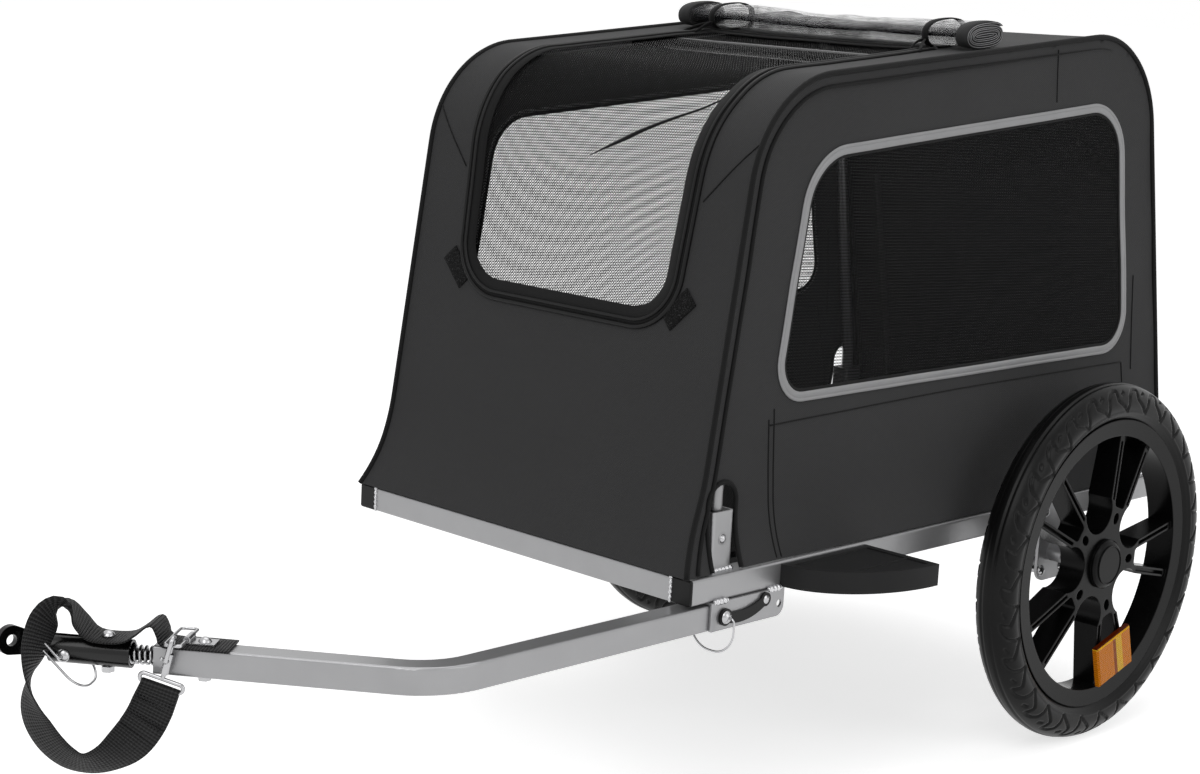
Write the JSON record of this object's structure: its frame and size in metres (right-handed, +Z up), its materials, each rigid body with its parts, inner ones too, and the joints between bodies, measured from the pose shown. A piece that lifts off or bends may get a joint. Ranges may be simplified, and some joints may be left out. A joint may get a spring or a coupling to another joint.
{
  "type": "dog bicycle trailer",
  "caption": "Two-wheeled dog trailer with a dark mesh-windowed cabin on a square-tube frame, moulded wheels and a swinging tow arm with a sprung axle hitch.",
  "frame": {"origin": "on the floor under the middle of the overall bounding box", "axes": "+Z up, -Y the way the trailer is towed, +X to the trailer's left"},
  "size_m": [0.664, 1.4172, 0.7848],
  "materials": {
    "silver_paint": "satin silver paint",
    "steel": "zinc plated",
    "black_paint": "satin black coat",
    "black_nylon": "moulded",
    "wheel_nylon": "moulded, lightly grained",
    "cover_fabric": "woven coated cloth",
    "trim_tape": "grey woven tape",
    "black_mesh": "open mesh",
    "black_fabric": "woven cloth",
    "webbing": "ribbed webbing",
    "clear_film": "clear vinyl, rolled",
    "tyre_rubber": "moulded tread",
    "rubber": "soft",
    "amber_lens": "prismatic lens"
  },
  "bodies": {
    "trailer_frame": {"arch_foot_plugs": "black_nylon", "arch_sockets": "silver_paint", "axle_crossbar": "silver_paint", "d_ring": "steel", "floor_panel": "black_fabric", "frame_fasteners": "steel", "front_crossbar": "silver_paint", "front_mesh": "black_mesh", "front_panel": "cover_fabric", "hitch_spring": "steel", "lanyard": "rubber", "left_arch": "silver_paint", "left_axle": "steel", "left_axle_bracket": "silver_paint", "left_rail": "silver_paint", "left_side_panel": "cover_fabric", "left_wheel_guard": "black_nylon", "left_window_mesh": "black_mesh", "lock_pin": "steel", "rail_end_caps": "black_nylon", "rear_crossbar": "silver_paint", "rear_panel": "cover_fabric", "right_arch": "silver_paint", "right_axle": "steel", "right_axle_bracket": "silver_paint", "right_rail": "silver_paint", "right_side_panel": "cover_fabric", "right_wheel_guard": "black_nylon", "right_window_mesh": "black_mesh", "ring_keeper": "steel", "rolled_rain_cover": "clear_film", "roof_bars": "black_paint", "roof_panel": "cover_fabric", "safety_strap": "webbing", "snap_hook": "steel", "spring_seat": "black_paint", "tow_arm": "silver_paint", "tow_bracket": "silver_paint"},
    "left_wheel": {"left_tyre": "tyre_rubber", "left_mag_wheel": "wheel_nylon", "left_bearings": "steel", "left_hub_cap": "wheel_nylon", "left_reflector": "amber_lens"},
    "right_wheel": {"right_tyre": "tyre_rubber", "right_mag_wheel": "wheel_nylon", "right_bearings": "steel", "right_hub_cap": "wheel_nylon", "right_reflector": "amber_lens"},
    "hitch_head": {"hitch_sleeve": "black_paint", "sleeve_bolt": "steel", "hitch_pin": "steel"},
    "coupler": {"axle_coupler": "black_paint"},
    "hitch_bail": {"hitch_pin_bail": "steel"},
    "lock_bail": {"lock_pin_bail": "steel"},
    "hook_gate": {"snap_gate": "steel"},
    "door": {"rear_door": "cover_fabric"},
    "front_left_button": {"front_left_snap_button": "steel"},
    "front_right_button": {"front_right_snap_button": "steel"},
    "rear_left_button": {"rear_left_snap_button": "steel"},
    "rear_right_button": {"rear_right_snap_button": "steel"}
  },
  "joints": [
    {"name": "left_wheel_spin", "type": "hinge", "parent": "trailer_frame", "child": "left_wheel", "pos_m": [0.2945, 0.46761, 0.2], "axis": [1, 0, 0], "continuous": true},
    {"name": "right_wheel_spin", "type": "hinge", "parent": "trailer_frame", "child": "right_wheel", "pos_m": [-0.2945, 0.46761, 0.2], "axis": [1, 0, 0], "continuous": true},
    {"name": "hitch_yaw", "type": "hinge", "parent": "trailer_frame", "child": "hitch_head", "pos_m": [0.02261, -0.59745, 0.2189], "axis": [0, 0, 1], "range_deg": [-35, 35], "stiffness_Nm_per_rad": 6, "deforming": ["hitch_spring", "safety_strap"]},
    {"name": "coupler_pitch", "type": "hinge", "parent": "hitch_head", "child": "coupler", "pos_m": [-0.03213, -0.63946, 0.2159], "axis": [0.6088, -0.7934, 0], "range_deg": [-35, 25], "deforming": ["safety_strap"]},
    {"name": "hitch_bail_swing", "type": "hinge", "parent": "hitch_head", "child": "hitch_bail", "pos_m": [-0.03213, -0.63946, 0.2159], "axis": [0.6088, -0.7934, 0], "range_deg": [-35, 15]},
    {"name": "lock_bail_swing", "type": "hinge", "parent": "trailer_frame", "child": "lock_bail", "pos_m": [0.2273, -0.09039, 0.2189], "axis": [1, 0, 0], "range_deg": [-60, 60]},
    {"name": "hook_gate_slide", "type": "slide", "parent": "trailer_frame", "child": "hook_gate", "axis": [-0.2053, -0.1576, -0.9659], "range_m": [0, 0.005], "stiffness_N_per_m": 150, "springref_m": -0.004},
    {"name": "rear_door_hinge", "type": "hinge", "parent": "trailer_frame", "child": "door", "pos_m": [0, 0.70451, 0.2806], "axis": [-1, 0, 0], "range_deg": [0, 105]},
    {"name": "front_left_button_press", "type": "slide", "parent": "trailer_frame", "child": "front_left_button", "axis": [-1, 0, 0], "range_m": [0, 0.003], "stiffness_N_per_m": 800, "springref_m": -0.003},
    {"name": "front_right_button_press", "type": "slide", "parent": "trailer_frame", "child": "front_right_button", "axis": [1, 0, 0], "range_m": [0, 0.003], "stiffness_N_per_m": 800, "springref_m": -0.003},
    {"name": "rear_left_button_press", "type": "slide", "parent": "trailer_frame", "child": "rear_left_button", "axis": [-1, 0, 0], "range_m": [0, 0.003], "stiffness_N_per_m": 800, "springref_m": -0.003},
    {"name": "rear_right_button_press", "type": "slide", "parent": "trailer_frame", "child": "rear_right_button", "axis": [1, 0, 0], "range_m": [0, 0.003], "stiffness_N_per_m": 800, "springref_m": -0.003}
  ]
}
